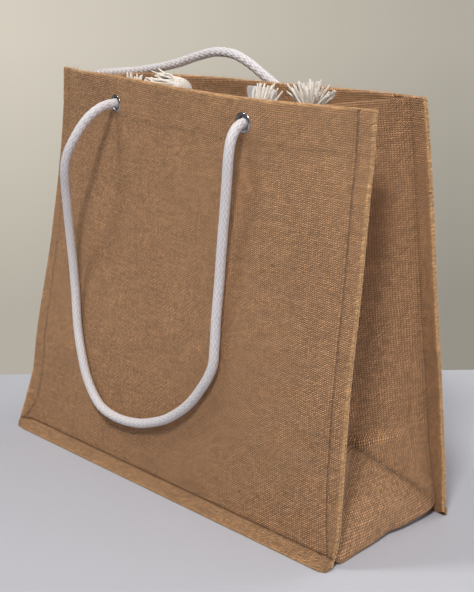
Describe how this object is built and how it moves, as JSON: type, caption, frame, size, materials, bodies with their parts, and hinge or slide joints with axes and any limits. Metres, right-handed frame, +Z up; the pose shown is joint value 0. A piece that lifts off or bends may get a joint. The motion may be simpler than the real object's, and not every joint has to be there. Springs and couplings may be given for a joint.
{
  "type": "jute tote bag",
  "caption": "Open-topped jute tote bag with a folded gusset, outside seams, metal eyelets and knotted white braided rope handles, standing up.",
  "frame": {"origin": "on the surface the bag stands on, under the middle of the bag without its handles", "axes": "+X along the bag's width, to the right seen from the front; -Y towards the front panel; +Z up"},
  "size_m": [0.4125, 0.1466, 0.3607],
  "materials": {
    "jute_cloth": "plain woven jute",
    "cotton_rope": "braided cotton",
    "eyelet_metal": "bright",
    "label_cloth": "smooth tape"
  },
  "bodies": {
    "root": {"front_panel": "jute_cloth", "back_panel": "jute_cloth", "gusset": "jute_cloth", "eyelet_front_left": "eyelet_metal", "eyelet_front_right": "eyelet_metal", "eyelet_rear_left": "eyelet_metal", "eyelet_rear_right": "eyelet_metal", "handle_front": "cotton_rope", "handle_rear": "cotton_rope", "knot_front_left": "cotton_rope", "knot_front_right": "cotton_rope", "knot_rear_left": "cotton_rope", "knot_rear_right": "cotton_rope", "label": "label_cloth"}
  },
  "joints": []
}
